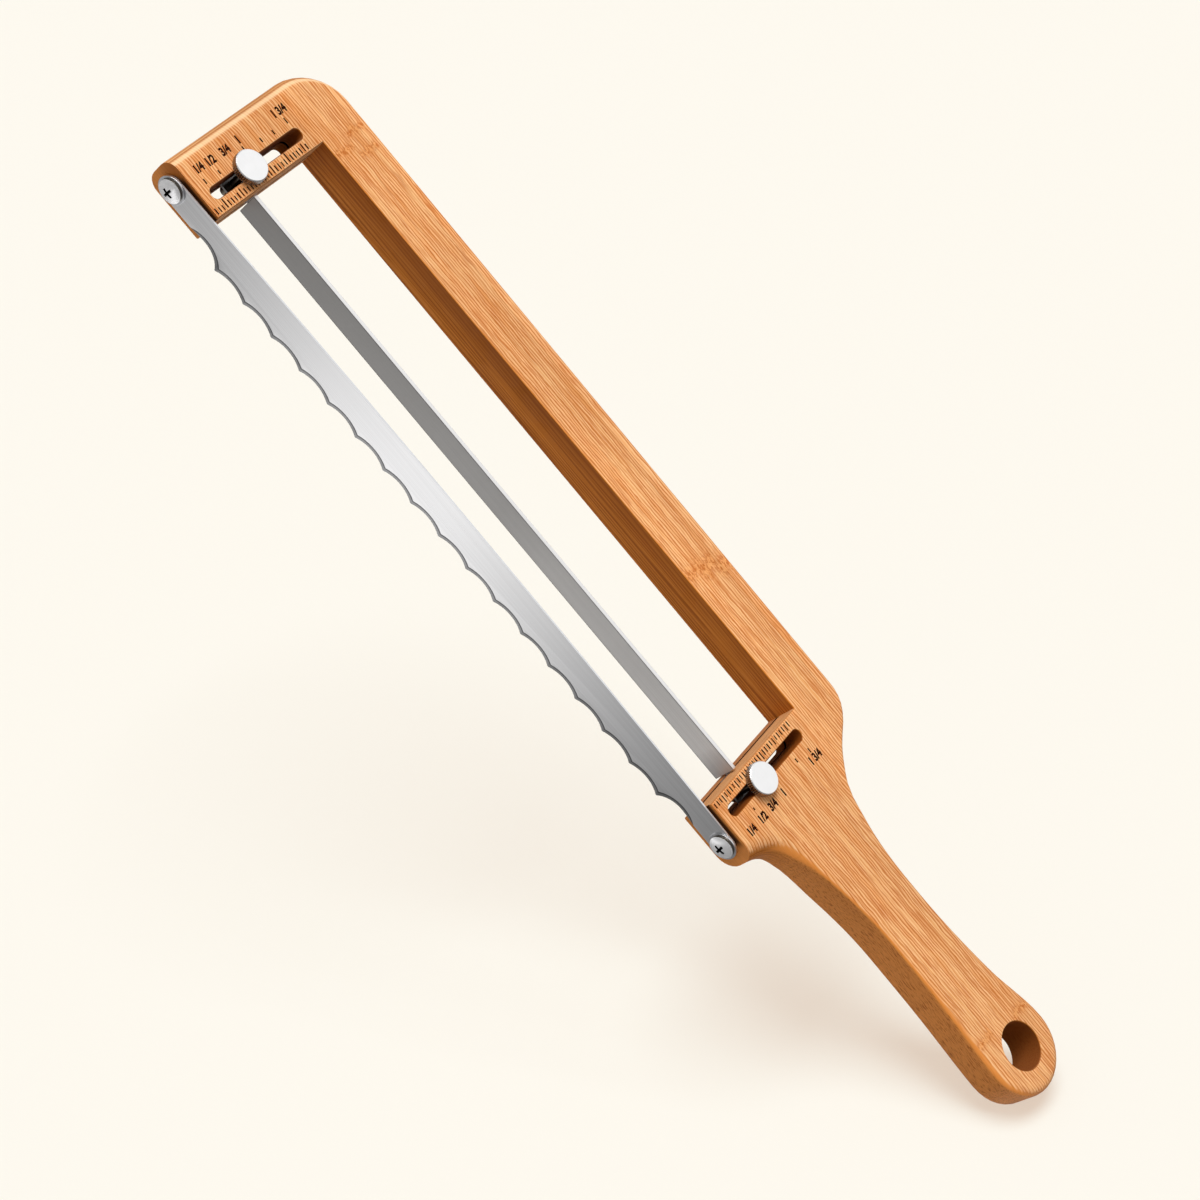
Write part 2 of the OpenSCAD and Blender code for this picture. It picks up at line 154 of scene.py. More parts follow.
def newGroup(name, sockets, kind="ShaderNodeTree"):
    tree = bpy.data.node_groups.new(name, kind)
    for label, way, socketType, value in sockets:
        item = tree.interface.new_socket(label, in_out=way, socket_type="NodeSocket" + socketType)
        if value is not None:
            item.default_value = value
    start = tree.nodes.new("NodeGroupInput")
    end = tree.nodes.new("NodeGroupOutput")
    return tree, start.outputs, end.inputs


def useGroup(tree, group, inputs):
    node = tree.nodes.new("ShaderNodeGroup")
    node.node_tree = group
    fillSockets(tree, node, inputs)
    return node.outputs


def newMaterial(name):
    material = bpy.data.materials.new(name)
    material.use_nodes = True
    tree = material.node_tree
    tree.nodes.clear()
    shader = tree.nodes.new("ShaderNodeBsdfPrincipled")
    out = tree.nodes.new("ShaderNodeOutputMaterial")
    tree.links.new(shader.outputs[0], out.inputs["Surface"])
    return material, tree, shader


def repaint(material):  # a finished material's tree, its shader and the tone that it has so far
    tree = material.node_tree
    shader = tree.nodes["Principled BSDF"]
    return tree, shader, shader.inputs["Base Color"].links[0].from_socket


def objectPlace(tree):
    return addNode(tree, "ShaderNodeTexCoord").outputs["Object"]


# Bamboo. Faces, long walls and the posts' ends each have their own tone and run of fibres.

bamboo = {
    "tones": {
        "pale": rgb(251, 205, 153), "main": rgb(236, 166, 101), "line": rgb(199, 108, 46),
        "rim": rgb(234, 146, 66), "wallPale": rgb(208, 130, 54), "wallMain": rgb(192, 112, 36),
        "wallLine": rgb(142, 72, 8), "gripMain": rgb(217, 141, 74), "gripSpeck": rgb(134, 70, 26),
        "handleEndPaintedLight": rgb(238, 162, 104), "endPale": rgb(232, 180, 130), "endMain": rgb(201, 141, 88),
        "endLine": rgb(158, 92, 48), "tipEdgeHighlight": rgb(252, 214, 168), "hollowShade": rgb(118, 56, 4),
        "kerf": rgb(34, 14, 2)
    },
    "strips": {"width": 9.7, "shift": 2.5, "slide": 40.0, "level": (0.95, 1.05)},
    "patchLevel": (0.93, 1.06), "noiseRange": (0.3, 0.7), "relief": 0.05, "reliefStrength": 0.3,
    "roughness": (0.44, 0.56), "dullRoughness": 0.95, "endDullness": 0.6, "gloss": 0.14, "refraction": 1.45,
    # cross bands of the culm's nodes, as plan x, y and width
    "nodeBands": [
        (3.0, 14.4, 1.7), (6.4, 5.0, 1.7), (11.3, 13.8, 1.7), (190.6, 11.0, 4.6), (188.6, 2.2, 3.0),
        (194.2, 18.2, 4.0), (370.9, -30.2, 1.7), (375.0, -9.2, 1.7)
    ],
    # pitch of each run of fibres, and how much they wander
    "fibres": {
        "line": (1.15, 3.2), "fine": (0.6, 3.0), "wallLine": (1.5, 11.0), "wallFine": (0.55, 8.0),
        "end": (1.1, 3.0)
    },
    # how close each pattern lies along x, y and z
    "grain": {
        "face": (0.055, 1.0, 0.55), "wall": (0.03, 0.3, 1.0), "end": (0.2, 0.03, 1.0),
        "sway": (0.09, 0.22, 0.1), "streaks": (0.5, 0.28, 0.28), "strokes": (1.9, 2.1, 2.1),
        "crossGrain": (0.75, 1.3, 1.3), "specks": (0.4, 3.2, 3.2), "patches": (0.012, 0.05, 0.05),
        "bandWobble": (0.05, 0.5, 0.5), "fibreBreaks": (0.6, 0.45, 0.45)
    },
    "swayReach": 1.8,
    # how strongly each mark tints what lies under it
    "shares": {
        "streaks": 0.25, "linePale": 0.85, "finePale": 0.25, "fineDark": 0.3, "lineDark": 0.8,
        "strokes": 0.6, "nodeBands": 0.85, "wallPale": 0.6, "wallFine": 0.55, "wallLine": 0.75,
        "grip": 0.75, "handleEndPaintedLight": 0.85, "specks": 0.7, "endPale": 0.8, "endLine": 0.6,
        "underKerf": 0.6, "rim": 0.75, "tipEdgeHighlight": 0.75, "hollowShade": 0.85, "kerfEdge": 0.85,
        "shadowBehindBlade": 0.9
    },
    # soft edges of the marks, from none to full: shares of a tilt or a pattern, then places in the plan
    "edges": {
        "flat": (0.62, 0.9), "endOn": (0.45, 0.85), "slant": (0.45, 0.95), "sideways": (0.3, 0.6),
        "rimIn": (0.74, 0.86), "rimOut": (0.985, 0.93), "streaks": (0.35, 0.7), "strokes": (0.56, 0.66),
        "crossGrain": (0.43, 0.56), "specks": (0.5, 0.68), "darkLine": (0.58, 0.9),
        "darkBreaks": (0.3, 0.54), "paleLine": (0.42, 0.06), "paleBreaks": (0.7, 0.42),
        "postX": (249.0, 247.0), "tipX": (2.0, -2.0), "heelPostX": (240.0, 244.0),
        "handleX": (262.0, 285.0), "handleEndX": (384.0, 396.0), "postEndY": (-55.3, -55.8),
        "frontZ": (5.0, 14.0), "insideZ": (5.0, 4.6), "underKerfZ": (6.0, 5.0),
        "kerfReach": (1.0, 0.65), "kerfX": (-1.5, -1.0), "kerfY": (0.3, -0.3),
        "slotReach": (3.0, 2.6), "slotLowY": (-54.5, -53.5), "slotHighY": (6.0, 2.0),
        "holeReach": (9.6, 9.1), "bladeTipX": (-19.0, -15.0), "bladeHeelX": (265.0, 261.0),
        "bladeY": (-55.4, -55.8), "gapTopZ": (14.5, 13.3), "gapLowZ": (11.0, 12.6)
    },
    "middleZ": 7.5, "kerfZ": 5.5, "slotX": (-7.0, 253.0), "hole": (382.95, -19.1),
    # shade on the walls' front edge, which fades from the tip to the heel
    "wallShade": {"tipX": 90.0, "heelX": 275.0, "tip": 0.7, "heel": 0.1},
}
tones = bamboo["tones"]


def marked(tree, value, edge):  # 0 to 1 across one of the soft edges
    return between(tree, value, *bamboo["edges"][edge])


def makeBandGroup():  # a slightly crooked band across the fibres, which reaches as far to both sides
    tree, given, wanted = newGroup("culmNodeBand", [
        ("Plan", "INPUT", "Vector", None), ("X", "INPUT", "Float", 0.0), ("Y", "INPUT", "Float", 0.0),
        ("Width", "INPUT", "Float", 1.7), ("Reach", "INPUT", "Float", 5.2),
        ("Wobble", "INPUT", "Float", 5.0), ("Fade", "INPUT", "Float", 1.2), ("Band", "OUTPUT", "Float", None)
    ])
    x, y = split(tree, given["Plan"])[:2]
    wobble = noiseOf(tree, stretched(tree, given["Plan"], bamboo["grain"]["bandWobble"]))
    wobble = product(tree, calc(tree, "SUBTRACT", wobble, 0.5), given["Wobble"])
    across = calc(tree, "ADD", wobble, calc(tree, "SUBTRACT", x, given["X"]))
    peak = bell(tree, calc(tree, "DIVIDE", across, given["Width"]))
    fadeStart = calc(tree, "SUBTRACT", given["Reach"], given["Fade"])
    inside = between(tree, distance(tree, y, given["Y"]), given["Reach"], fadeStart)
    tree.links.new(product(tree, peak, inside), wanted["Band"])
    return tree


def makeFibreGroup():  # pale and dark lines side by side at a pitch, wavy and broken up
    tree, given, wanted = newGroup("fibreLines", [
        ("Place", "INPUT", "Vector", None), ("Pitch", "INPUT", "Float", 1.2),
        ("Waves", "INPUT", "Float", 6.0), ("Dark", "OUTPUT", "Float", None), ("Pale", "OUTPUT", "Float", None)
    ])
    waveScale = calc(tree, "DIVIDE", math.pi / 10, given["Pitch"])  # at scale 1 a wave is pi / 10 long
    wave = addNode(tree, "ShaderNodeTexWave", {
        "Vector": given["Place"], "Scale": waveScale, "Distortion": given["Waves"], "Detail": 2.0,
        "Detail Scale": 1.0, "Detail Roughness": 0.5
    }, wave_type="BANDS", bands_direction="Y").outputs[1]
    breaks = vectorCalc(tree, "MULTIPLY", given["Place"], bamboo["grain"]["fibreBreaks"])
    breaks = noiseOf(tree, breaks, 3.0, 0.6)
    dark = product(tree, marked(tree, wave, "darkLine"), marked(tree, breaks, "darkBreaks"))
    pale = product(tree, marked(tree, wave, "paleLine"), marked(tree, breaks, "paleBreaks"))
    tree.links.new(dark, wanted["Dark"])
    tree.links.new(pale, wanted["Pale"])
    return tree


bandGroup = makeBandGroup()
fibreGroup = makeFibreGroup()
bambooMaterial, tree, shader = newMaterial("oiledBamboo")
place = addNode(tree, "ShaderNodeTexCoord").outputs
plan = stretched(tree, place["Object"], (1 / mm,) * 3, tuple(planOrigin))
planX, planY, planZ = split(tree, plan)
normalX, normalY, normalZ = split(tree, place["Normal"])


def mask(value, edge):
    return marked(tree, value, edge)


def tinted(tone, amount, share, colour):  # lays one of the bamboo's tones over another
    return mixTone(tree, product(tree, amount, bamboo["shares"][share]), tone, tones[colour])


def fibres(vector, kind):
    pitch, waves = bamboo["fibres"][kind]
    return useGroup(tree, fibreGroup, {"Place": vector, "Pitch": pitch, "Waves": waves})


def grainOf(vector, kind, shift=(0.0, 0.0, 0.0)):
    return stretched(tree, vector, bamboo["grain"][kind], shift)


def turned(vector):  # the fibres' pitch then runs along z
    inputs = {0: vector, 2: (math.radians(90), 0.0, 0.0)}
    return addNode(tree, "ShaderNodeMapping", inputs).outputs[0]


upright = calc(tree, "ABSOLUTE", normalZ)
flat = mask(upright, "flat")
steep = calc(tree, "SUBTRACT", 1.0, flat)
endOn = product(tree, mask(calc(tree, "ABSOLUTE", normalX), "endOn"), mask(planX, "postX"))
onHandle = mask(planX, "handleX")

# The front and back faces: strips side by side, each with its own run of fibres
strips = bamboo["strips"]
stripIndex = calc(tree, "DIVIDE", calc(tree, "ADD", planY, strips["shift"]), strips["width"])
stripIndex = calc(tree, "FLOOR", stripIndex)
chance = addNode(tree, "ShaderNodeTexWhiteNoise", {"W": stripIndex}, noise_dimensions="1D").outputs[0]
slide = joined(tree, x=product(tree, chance, strips["slide"]))
sway = joined(tree, y=product(tree, noiseOf(tree, grainOf(plan, "sway"), 3.0), bamboo["swayReach"]))
along = vectorCalc(tree, "ADD", grainOf(plan, "face"), vectorCalc(tree, "ADD", slide, sway))
lines = fibres(along, "line")
fine = fibres(along, "fine")
streaks = noiseOf(tree, grainOf(along, "streaks", (7.0, 3.0, 0.0)), 3.0)
strokes = noiseOf(tree, grainOf(along, "strokes", (3.0, 0.0, 0.0)), 1.0)
crossGrain = noiseOf(tree, grainOf(plan, "crossGrain"), 2.0, 0.6)
nodeBands = 0.0
for x, y, width in bamboo["nodeBands"]:
    band = useGroup(tree, bandGroup, {"Plan": plan, "X": x, "Y": y, "Width": width})[0]
    nodeBands = largest(tree, band, nodeBands)
faceTone = tinted(tones["main"], mask(streaks, "streaks"), "streaks", "pale")
faceTone = tinted(faceTone, lines["Pale"], "linePale", "pale")
faceTone = tinted(faceTone, fine["Pale"], "finePale", "pale")
faceTone = tinted(faceTone, fine["Dark"], "fineDark", "line")
faceTone = tinted(faceTone, lines["Dark"], "lineDark", "line")
faceTone = tinted(faceTone, mask(strokes, "strokes"), "strokes", "line")
bandTone = mixTone(tree, mask(crossGrain, "crossGrain"), tones["main"], tones["line"])
faceTone = mixTone(tree, product(tree, nodeBands, bamboo["shares"]["nodeBands"]), faceTone, bandTone)

# The long walls, which turn to paler speckled grain on the handle
wallPlace = turned(grainOf(plan, "wall", (11.0, 0.0, 0.0)))
wallLines = fibres(wallPlace, "wallLine")
wallFine = fibres(wallPlace, "wallFine")
specks = mask(noiseOf(tree, grainOf(plan, "specks")), "specks")
wallTone = tinted(tones["wallMain"], wallLines["Pale"], "wallPale", "wallPale")
wallTone = tinted(wallTone, wallFine["Dark"], "wallFine", "wallLine")
wallTone = tinted(wallTone, wallLines["Dark"], "wallLine", "wallLine")
wallTone = tinted(wallTone, largest(tree, onHandle, mask(planY, "postEndY")), "grip", "gripMain")
# painted light: the handle's end, which gets little light, is made paler
wallTone = tinted(wallTone, mask(planX, "handleEndX"), "handleEndPaintedLight", "handleEndPaintedLight")
wallTone = tinted(wallTone, product(tree, specks, onHandle), "specks", "gripSpeck")
shade = bamboo["wallShade"]
shadeLevel = ranged(tree, planX, shade["tipX"], shade["heelX"], shade["tip"], shade["heel"])
frontShade = product(tree, mask(planZ, "frontZ"), shadeLevel)
wallTone = mixTone(tree, frontShade, wallTone, tones["wallLine"])

# The posts' ends and inner faces, which face along x: a paler end-grain tone, made paler still as a painted
# sheen
endLines = fibres(turned(grainOf(plan, "end", (0.0, 5.0, 0.0))), "end")
underKerf = product(tree, mask(planZ, "underKerfZ"), mask(planX, "heelPostX"))
endTone = tinted(tones["endMain"], endLines["Pale"], "endPale", "endPale")
endTone = tinted(endTone, endLines["Dark"], "endLine", "endLine")
endTone = tinted(endTone, underKerf, "underKerf", "endLine")

# Rims, where a face turns into a wall, get a painted highlight
squared = product(tree, upright, upright)
slant = product(tree, squared, calc(tree, "SUBTRACT", 1.0, squared), 4.0)
rim = product(tree, mask(slant, "slant"), mask(calc(tree, "ABSOLUTE", normalY), "sideways"))
# a painted highlight along the tip post's outer edge
tipEdgeHighlight = product(tree, mask(upright, "rimIn"), mask(upright, "rimOut"), mask(planX, "tipX"))
tone = mixTone(tree, flat, wallTone, faceTone)
tone = mixTone(tree, endOn, tone, endTone)
tone = tinted(tone, rim, "rim", "rim")
tone = tinted(tone, tipEdgeHighlight, "tipEdgeHighlight", "tipEdgeHighlight")

# Slots, the hanging hole, the saw kerfs and the posts' ends behind the blade are darker, as painted shade
fromSlots = [distance(tree, planX, x) for x in bamboo["slotX"]]
inSlot = mask(calc(tree, "MINIMUM", *fromSlots), "slotReach")
inSlot = product(tree, inSlot, mask(planY, "slotLowY"), mask(planY, "slotHighY"))
fromHole = [distance(tree, value, middle) for value, middle in zip((planX, planY), bamboo["hole"])]
fromHole = calc(tree, "ADD", *(product(tree, side, side) for side in fromHole))
inHole = mask(calc(tree, "SQRT", fromHole), "holeReach")
hollow = product(tree, largest(tree, inSlot, inHole), steep)
# painted shade on the saw kerfs' own faces
inKerf = product(tree, flat, mask(distance(tree, planZ, bamboo["middleZ"]), "insideZ"))
# painted shade in a band along the saw kerf on the posts' inner faces
kerfEdge = mask(distance(tree, planZ, bamboo["kerfZ"]), "kerfReach")
kerfEdge = product(tree, kerfEdge, mask(planX, "kerfX"), mask(planY, "kerfY"))
kerfEdge = product(tree, kerfEdge, endOn, bamboo["shares"]["kerfEdge"])
# a painted shadow on the posts' ends, in the gap behind the blade's back edge
shadowBehindBlade = product(tree, mask(planY, "bladeY"), mask(planZ, "gapTopZ"), mask(planZ, "gapLowZ"))
shadowBehindBlade = product(tree, shadowBehindBlade, mask(planX, "bladeTipX"), mask(planX, "bladeHeelX"))
shadowBehindBlade = product(tree, shadowBehindBlade, steep, bamboo["shares"]["shadowBehindBlade"])
# painted shade: the kerfs' faces, the bands along them and the gap behind the blade
cut = largest(tree, inKerf, kerfEdge, shadowBehindBlade)
# painted shade inside the slots and the hanging hole
tone = tinted(tone, hollow, "hollowShade", "hollowShade")
tone = mixTone(tree, cut, tone, tones["kerf"])

# Strips and patches differ in brightness, and sawn or end-on bamboo is duller
patches = noiseOf(tree, grainOf(plan, "patches"), 3.0)
patches = ranged(tree, patches, *bamboo["noiseRange"], *bamboo["patchLevel"])
level = product(tree, mixValue(tree, chance, *strips["level"]), patches)
tone = mixTone(tree, 1.0, tone, greyOf(tree, level), "MULTIPLY")
tree.links.new(tone, shader.inputs["Base Color"])
dull = largest(tree, hollow, cut, product(tree, endOn, bamboo["endDullness"]))
roughness = mixValue(tree, lines["Dark"], *bamboo["roughness"])
roughness = mixValue(tree, dull, roughness, bamboo["dullRoughness"])
tree.links.new(roughness, shader.inputs["Roughness"])
relief = calc(tree, "ADD", lines["Dark"], fine["Dark"])
relief = product(tree, relief, product(tree, flat, -0.5))
inputs = {"Strength": bamboo["reliefStrength"], "Distance": bamboo["relief"] * mm, "Height": relief}
tree.links.new(addNode(tree, "ShaderNodeBump", inputs).outputs[0], shader.inputs["Normal"])
shader.inputs["IOR"].default_value = bamboo["refraction"]
shader.inputs["Specular IOR Level"].default_value = bamboo["gloss"]
print("bamboo made")

# Metals: brushed lines and handling marks are shared

metals = {  # colour, roughness, depth of the brushed streaks, how close they lie along x, y and z
    "bladeSteel": (rgb(226, 226, 227), 0.27, 0.06, (8.0, 2600.0, 2600.0)),
    "groundSteel": (rgb(150, 150, 151), 0.4, 0.16, (2600.0, 900.0, 60.0)),
    "barSteel": (rgb(176, 174, 172), 0.5, 0.05, (8.0, 2600.0, 2600.0)),
    "edgeSteel": (rgb(222, 221, 221), 0.3, 0.04, (8.0, 2600.0, 2600.0)),
    "screwSteel": (rgb(243, 243, 245), 0.22, 0.01, (200.0, 200.0, 200.0)),
    "washerSteel": (rgb(214, 215, 218), 0.26, 0.02, (200.0, 200.0, 200.0)),
    "recessShade": (rgb(34, 33, 34), 0.55, 0.1, (900.0, 900.0, 900.0)),
    "nutSteel": (rgb(112, 104, 94), 0.3, 0.08, (600.0, 600.0, 600.0)),
    "tongueSteel": (rgb(146, 144, 142), 0.35, 0.05, (600.0, 600.0, 600.0)),
    "knobNickel": (rgb(232, 232, 233), 0.32, 0.015, (300.0, 300.0, 300.0)),
    # the knurled side's darker nickel is painted shade
    "shadedKnurlNickel": (rgb(150, 142, 136), 0.22, 0.05, (300.0, 300.0, 300.0)),
}
wear = {
    "roughness": 0.05, "relief": 0.02, "reliefStrength": 0.12, "cloudScale": 45.0, "streakEdges": (0.3, 0.7),
    "screwPlating": 0.6
}
bevelLine = {"depth": (0.24, 0.16), "share": 0.75, "tone": rgb(70, 70, 72)}  # where the ground bevel starts
char = {
    "scale": 1800.0, "edges": (0.42, 0.7), "dark": rgb(28, 8, 2), "pale": rgb(66, 28, 10),
    "roughness": (0.6, 0.9), "gloss": 0.05
}

brushGroup, given, wanted = newGroup("brushedLines", [
    ("Object", "INPUT", "Vector", None), ("Along", "INPUT", "Vector", (2.0, 1400.0, 1400.0)),
    ("Cloud Scale", "INPUT", "Float", 45.0), ("Streak", "OUTPUT", "Float", None),
    ("Cloud", "OUTPUT", "Float", None)
])
pulled = vectorCalc(brushGroup, "MULTIPLY", given["Object"], given["Along"])
brushGroup.links.new(noiseOf(brushGroup, pulled, 4.0, 0.65), wanted["Streak"])
cloud = noiseOf(brushGroup, given["Object"], 3.0, scale=given["Cloud Scale"])
brushGroup.links.new(cloud, wanted["Cloud"])


def makeMetal(name, colour, rough, streak, run):
    material, tree, shader = newMaterial(name)
    brush = useGroup(tree, brushGroup, {
        "Object": objectPlace(tree), "Along": run, "Cloud Scale": wear["cloudScale"]
    })
    dark = tuple(c * (1 - streak) for c in colour[:3]) + (1.0,)
    bright = tuple(min(1.0, c * (1 + streak)) for c in colour[:3]) + (1.0,)
    tone = mixTone(tree, between(tree, brush["Streak"], *wear["streakEdges"]), dark, bright)
    tree.links.new(tone, shader.inputs["Base Color"])
    worn = mixValue(tree, brush["Streak"], rough - wear["roughness"], rough + wear["roughness"])
    worn = calc(tree, "MULTIPLY_ADD", brush["Cloud"], wear["roughness"], worn)
    tree.links.new(worn, shader.inputs["Roughness"])
    inputs = {
        "Strength": wear["reliefStrength"], "Distance": wear["relief"] * mm, "Height": brush["Streak"]
    }
    tree.links.new(addNode(tree, "ShaderNodeBump", inputs).outputs[0], shader.inputs["Normal"])
    shader.inputs["Metallic"].default_value = 1.0
    return material


finishes = {name: makeMetal(name, *values) for name, values in metals.items()}
finishes["oiledBamboo"] = bambooMaterial
tree, shader, tone = repaint(finishes["screwSteel"])
shader.inputs["Metallic"].default_value = wear["screwPlating"]  # bright plating also scatters light

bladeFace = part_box("blade")[0].y
tree, shader, tone = repaint(finishes["groundSteel"])
depth = calc(tree, "SUBTRACT", split(tree, objectPlace(tree))[1], bladeFace)
startLine = between(tree, depth, *(edge * mm for edge in bevelLine["depth"]))
tone = mixTone(tree, product(tree, startLine, bevelLine["share"]), tone, bevelLine["tone"])
tree.links.new(tone, shader.inputs["Base Color"])

burntMark, tree, shader = newMaterial("burntMark")
charred = noiseOf(tree, objectPlace(tree), 3.0, 0.6, char["scale"])
tone = mixTone(tree, between(tree, charred, *char["edges"]), char["dark"], char["pale"])
tree.links.new(tone, shader.inputs["Base Color"])
tree.links.new(mixValue(tree, charred, *char["roughness"]), shader.inputs["Roughness"])
shader.inputs["Specular IOR Level"].default_value = char["gloss"]
print("metals and marks made")


# Pieces: most CAD nodes are dressed in a merged copy with softened edges

def dress(name, data, width, sharp=40.0, segments=2, crease=40.0):
    piece = bpy.data.objects.new(name + "Look", data)
    scene.collection.objects.link(piece)
    bevel = piece.modifiers.new("softEdges", "BEVEL")
    bevel.width = width * mm
    bevel.segments = segments
    bevel.limit_method = "ANGLE"
    bevel.angle_limit = math.radians(sharp)
    bevel.harden_normals = True
    for face in data.polygons:
        face.use_smooth = True
    data.set_sharp_from_angle(angle=math.radians(crease))
    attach(piece, ridesOn[name])
    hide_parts(name)


mending = {"mergeDistance": 0.0015, "flatAngle": 0.4}  # points that meet, and faces that are level


def mergedCopy(name, materials, chooseSlot=None):
    mesh = bmesh.new()
    mesh.from_mesh(cadNodes[name].data)
    bmesh.ops.remove_doubles(mesh, verts=mesh.verts, dist=mending["mergeDistance"] * mm)
    flatAngle = math.radians(mending["flatAngle"])
    bmesh.ops.dissolve_limit(mesh, angle_limit=flatAngle, verts=mesh.verts, edges=mesh.edges)
    for face in mesh.faces:
        face.material_index = chooseSlot(face) if chooseSlot else 0
    data = bpy.data.meshes.new(name + "Look")
    for material in materials:
        data.materials.append(finishes[material])
    mesh.to_mesh(data)
    mesh.free()
    return data


softEdges = {  # node: finish, width of its softened edges
    "tip_guide_tongue": ("tongueSteel", 0.05), "heel_guide_tongue": ("tongueSteel", 0.05),
    "tip_slot_nut": ("nutSteel", 0.15), "heel_slot_nut": ("nutSteel", 0.15),
    "tip_clamp_washer": ("washerSteel", 0.06), "heel_clamp_washer": ("washerSteel", 0.06),
    "tip_blade_washer": ("washerSteel", 0.1), "heel_blade_washer": ("washerSteel", 0.1),
    "tip_blade_spacer": ("nutSteel", 0.08), "heel_blade_spacer": ("nutSteel", 0.08),
    "bow_frame": ("oiledBamboo", 0.12)
}
for name, (finish, width) in softEdges.items():
    dress(name, mergedCopy(name, [finish]), width)

# Blade: its ground bevels and cut edges have finishes of their own

blade = {
    "edge": 0.03, "finishes": ("bladeSteel", "groundSteel", "washerSteel"), "groundTilt": (0.6, 0.995)
}


def bladeSlot(face):
    outward = -face.normal.y
    least, most = blade["groundTilt"]
    if least < outward < most:
        return 1
    return 2 if abs(outward) < least else 0


dress("blade", mergedCopy("blade", blade["finishes"], bladeSlot), blade["edge"])

# Blade screws: the cross recess is dark inside, as painted shade

bladeScrew = {
    "recessReach": 2.0, "recessDepth": 1.31, "floorDepth": 1.0, "recessTilt": 0.5, "sideReach": 4.0,
    "sideTilt": 0.4, "edge": 0.08, "finishes": ("screwSteel", "recessShade", "nutSteel")
}
for name in ("tip_blade_screw", "heel_blade_screw"):
    low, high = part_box(name)
    crown = low.y
    middle = (low + high) / 2

    def screwSlot(face):
        spot = face.calc_center_median()
        radius = math.hypot(spot.x - middle.x, spot.z - middle.z) / mm
        depth = (spot.y - crown) / mm
        tilt = abs(face.normal.y)
        # the head's side takes the darker nut steel, a painted shadow ring between head and washer
        if radius > bladeScrew["sideReach"] and tilt < bladeScrew["sideTilt"]:
            return 2
        inRecess = radius < bladeScrew["recessReach"] and depth < bladeScrew["recessDepth"]
        onRecess = tilt < bladeScrew["recessTilt"] or depth > bladeScrew["floorDepth"]
        return 1 if inRecess and onRecess else 0

    dress(name, mergedCopy(name, bladeScrew["finishes"], screwSlot), bladeScrew["edge"])

# Guide bar: a plain flat bar with eased edges, closed round the brazed tongues

guideBar = {
    "edge": 0.16, "neckInset": 0.15, "near": 0.02, "edgeLine": (0.6, 0.2), "edgeLineTone": 0.55,
    "brightest": 2.5, "finishes": ("barSteel", "edgeSteel"),
    # a painted reflection: how bright the brushed side is, by plan x, with painted shade at the heel end
    "tones": [(0, 0.84), (70, 0.82), (130, 0.95), (200, 1.7), (235, 2.3), (246, 1.4)],
}
low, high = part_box("guide_bar")
mesh = bmesh.new()
bmesh.ops.create_cube(mesh, size=1.0)
for vert in mesh.verts:
    vert.co = Vector([low[k] if vert.co[k] < 0 else high[k] for k in range(3)])
barData = bpy.data.meshes.new("guideBarLook")
mesh.to_mesh(barData)
mesh.free()
for finish in guideBar["finishes"]:
    barData.materials.append(finishes[finish])
for face in barData.polygons:
    face.material_index = 1 if abs(face.normal.z) > 0.9 else 0
dress("guide_bar", barData, guideBar["edge"], segments=3)
for name in ("tip_guide_tongueLook", "heel_guide_tongueLook"):  # the necks end inside the closed bar
    for vert in bpy.data.objects[name].data.vertices:
        if abs(vert.co.y - low.y) < guideBar["near"] * mm and low.x < vert.co.x < high.x:
            vert.co.y += guideBar["neckInset"] * mm

tree, shader, tone = repaint(finishes["barSteel"])
axes = split(tree, objectPlace(tree))
share = ranged(tree, axes[0], low.x, high.x, 0.0, 1.0)
# painted reflection and shade along the bar's brushed side
paintedReflectionRamp = addNode(tree, "ShaderNodeValToRGB", {0: share})
stops = paintedReflectionRamp.color_ramp.elements
while len(stops) < len(guideBar["tones"]):
    stops.new(0.5)
for stop, (x, value) in zip(stops, guideBar["tones"]):
    stop.position = x / guideBar["tones"][-1][0]
    stop.color = (value / guideBar["brightest"],) * 3 + (1.0,)
lineStart, lineFull = [(high.z - low.z) / 2 - edge * mm for edge in guideBar["edgeLine"]]
edgeLine = between(tree, distance(tree, axes[2], (low.z + high.z) / 2), lineStart, lineFull)
edgeTone = mixValue(tree, edgeLine, 1.0, guideBar["edgeLineTone"])
level = product(tree, paintedReflectionRamp.outputs[0], guideBar["brightest"], edgeTone)
tree.links.new(mixTone(tree, 1.0, tone, greyOf(tree, level), "MULTIPLY"), shader.inputs["Base Color"])
print("pieces dressed")


# Geometry made by rule: the thumb screws' knurled heads and the ruler's marks

def grown(name, tree, values, matrix=Matrix()):
    maker = bpy.data.objects.new(name + "Maker", bpy.data.meshes.new(name + "Start"))
    scene.collection.objects.link(maker)
    modifier = maker.modifiers.new("grow", "NODES")
    modifier.node_group = tree
    for item in tree.interface.items_tree:
        if item.item_type == "SOCKET" and item.in_out == "INPUT" and item.name in values:
            modifier[item.identifier] = values[item.name]
    result = maker.evaluated_get(bpy.context.evaluated_depsgraph_get())
    data = bpy.data.meshes.new_from_object(result)
    maker.modifiers.remove(modifier)
    bpy.data.objects.remove(maker)
    data.transform(matrix)
    return data


